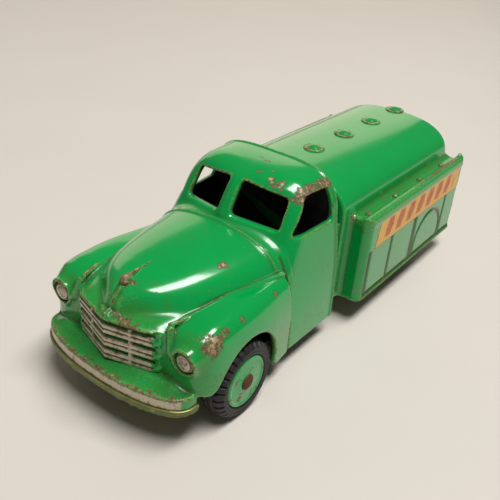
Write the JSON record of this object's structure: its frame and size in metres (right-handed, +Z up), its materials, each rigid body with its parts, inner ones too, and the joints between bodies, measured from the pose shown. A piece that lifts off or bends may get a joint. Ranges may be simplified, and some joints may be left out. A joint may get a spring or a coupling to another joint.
{
  "type": "toy tanker truck",
  "caption": "Die-cast toy tanker truck with a rounded cab, a long tank between side boxes, and four free-rolling wheels on two wire axles.",
  "frame": {"origin": "on the ground, under the middle of the truck's box", "axes": "+Z up, the truck faces -Y, +X is the truck's left side"},
  "size_m": [0.0434, 0.112, 0.0388],
  "materials": {
    "body_paint": "gloss green enamel on a zinc casting, chipped",
    "body_silver": "worn silver paint on the grille, bumper and lamps",
    "base_paint": "thin paint on pressed tinplate",
    "axle_steel": "bare steel wire with brown surface rust",
    "hub_paint": "gloss green enamel on a small casting",
    "tyre_rubber": "moulded black rubber with block tread",
    "transfer_film": "thin varnished water-slide film, yellow with a red pattern"
  },
  "bodies": {
    "body": {"body_casting": "body_paint", "base_plate": "base_paint", "transfer_left": "transfer_film", "transfer_right": "transfer_film"},
    "front_axle": {"front_axle": "axle_steel"},
    "rear_axle": {"rear_axle": "axle_steel"},
    "wheel_front_left": {"hub_front_left": "hub_paint", "tyre_front_left": "tyre_rubber"},
    "wheel_front_right": {"hub_front_right": "hub_paint", "tyre_front_right": "tyre_rubber"},
    "wheel_rear_left": {"hub_rear_left": "hub_paint", "tyre_rear_left": "tyre_rubber"},
    "wheel_rear_right": {"hub_rear_right": "hub_paint", "tyre_rear_right": "tyre_rubber"}
  },
  "joints": [
    {"name": "front_axle_turn", "type": "hinge", "parent": "body", "child": "front_axle", "pos_m": [0, -0.0373, 0.0079], "axis": [1, 0, 0], "continuous": true},
    {"name": "rear_axle_turn", "type": "hinge", "parent": "body", "child": "rear_axle", "pos_m": [0, 0.037, 0.0079], "axis": [1, 0, 0], "continuous": true},
    {"name": "wheel_front_left_roll", "type": "hinge", "parent": "front_axle", "child": "wheel_front_left", "pos_m": [0.01765, -0.0373, 0.0079], "axis": [1, 0, 0], "continuous": true},
    {"name": "wheel_front_right_roll", "type": "hinge", "parent": "front_axle", "child": "wheel_front_right", "pos_m": [-0.01765, -0.0373, 0.0079], "axis": [1, 0, 0], "continuous": true},
    {"name": "wheel_rear_left_roll", "type": "hinge", "parent": "rear_axle", "child": "wheel_rear_left", "pos_m": [0.01385, 0.037, 0.0079], "axis": [1, 0, 0], "continuous": true},
    {"name": "wheel_rear_right_roll", "type": "hinge", "parent": "rear_axle", "child": "wheel_rear_right", "pos_m": [-0.01385, 0.037, 0.0079], "axis": [1, 0, 0], "continuous": true}
  ]
}
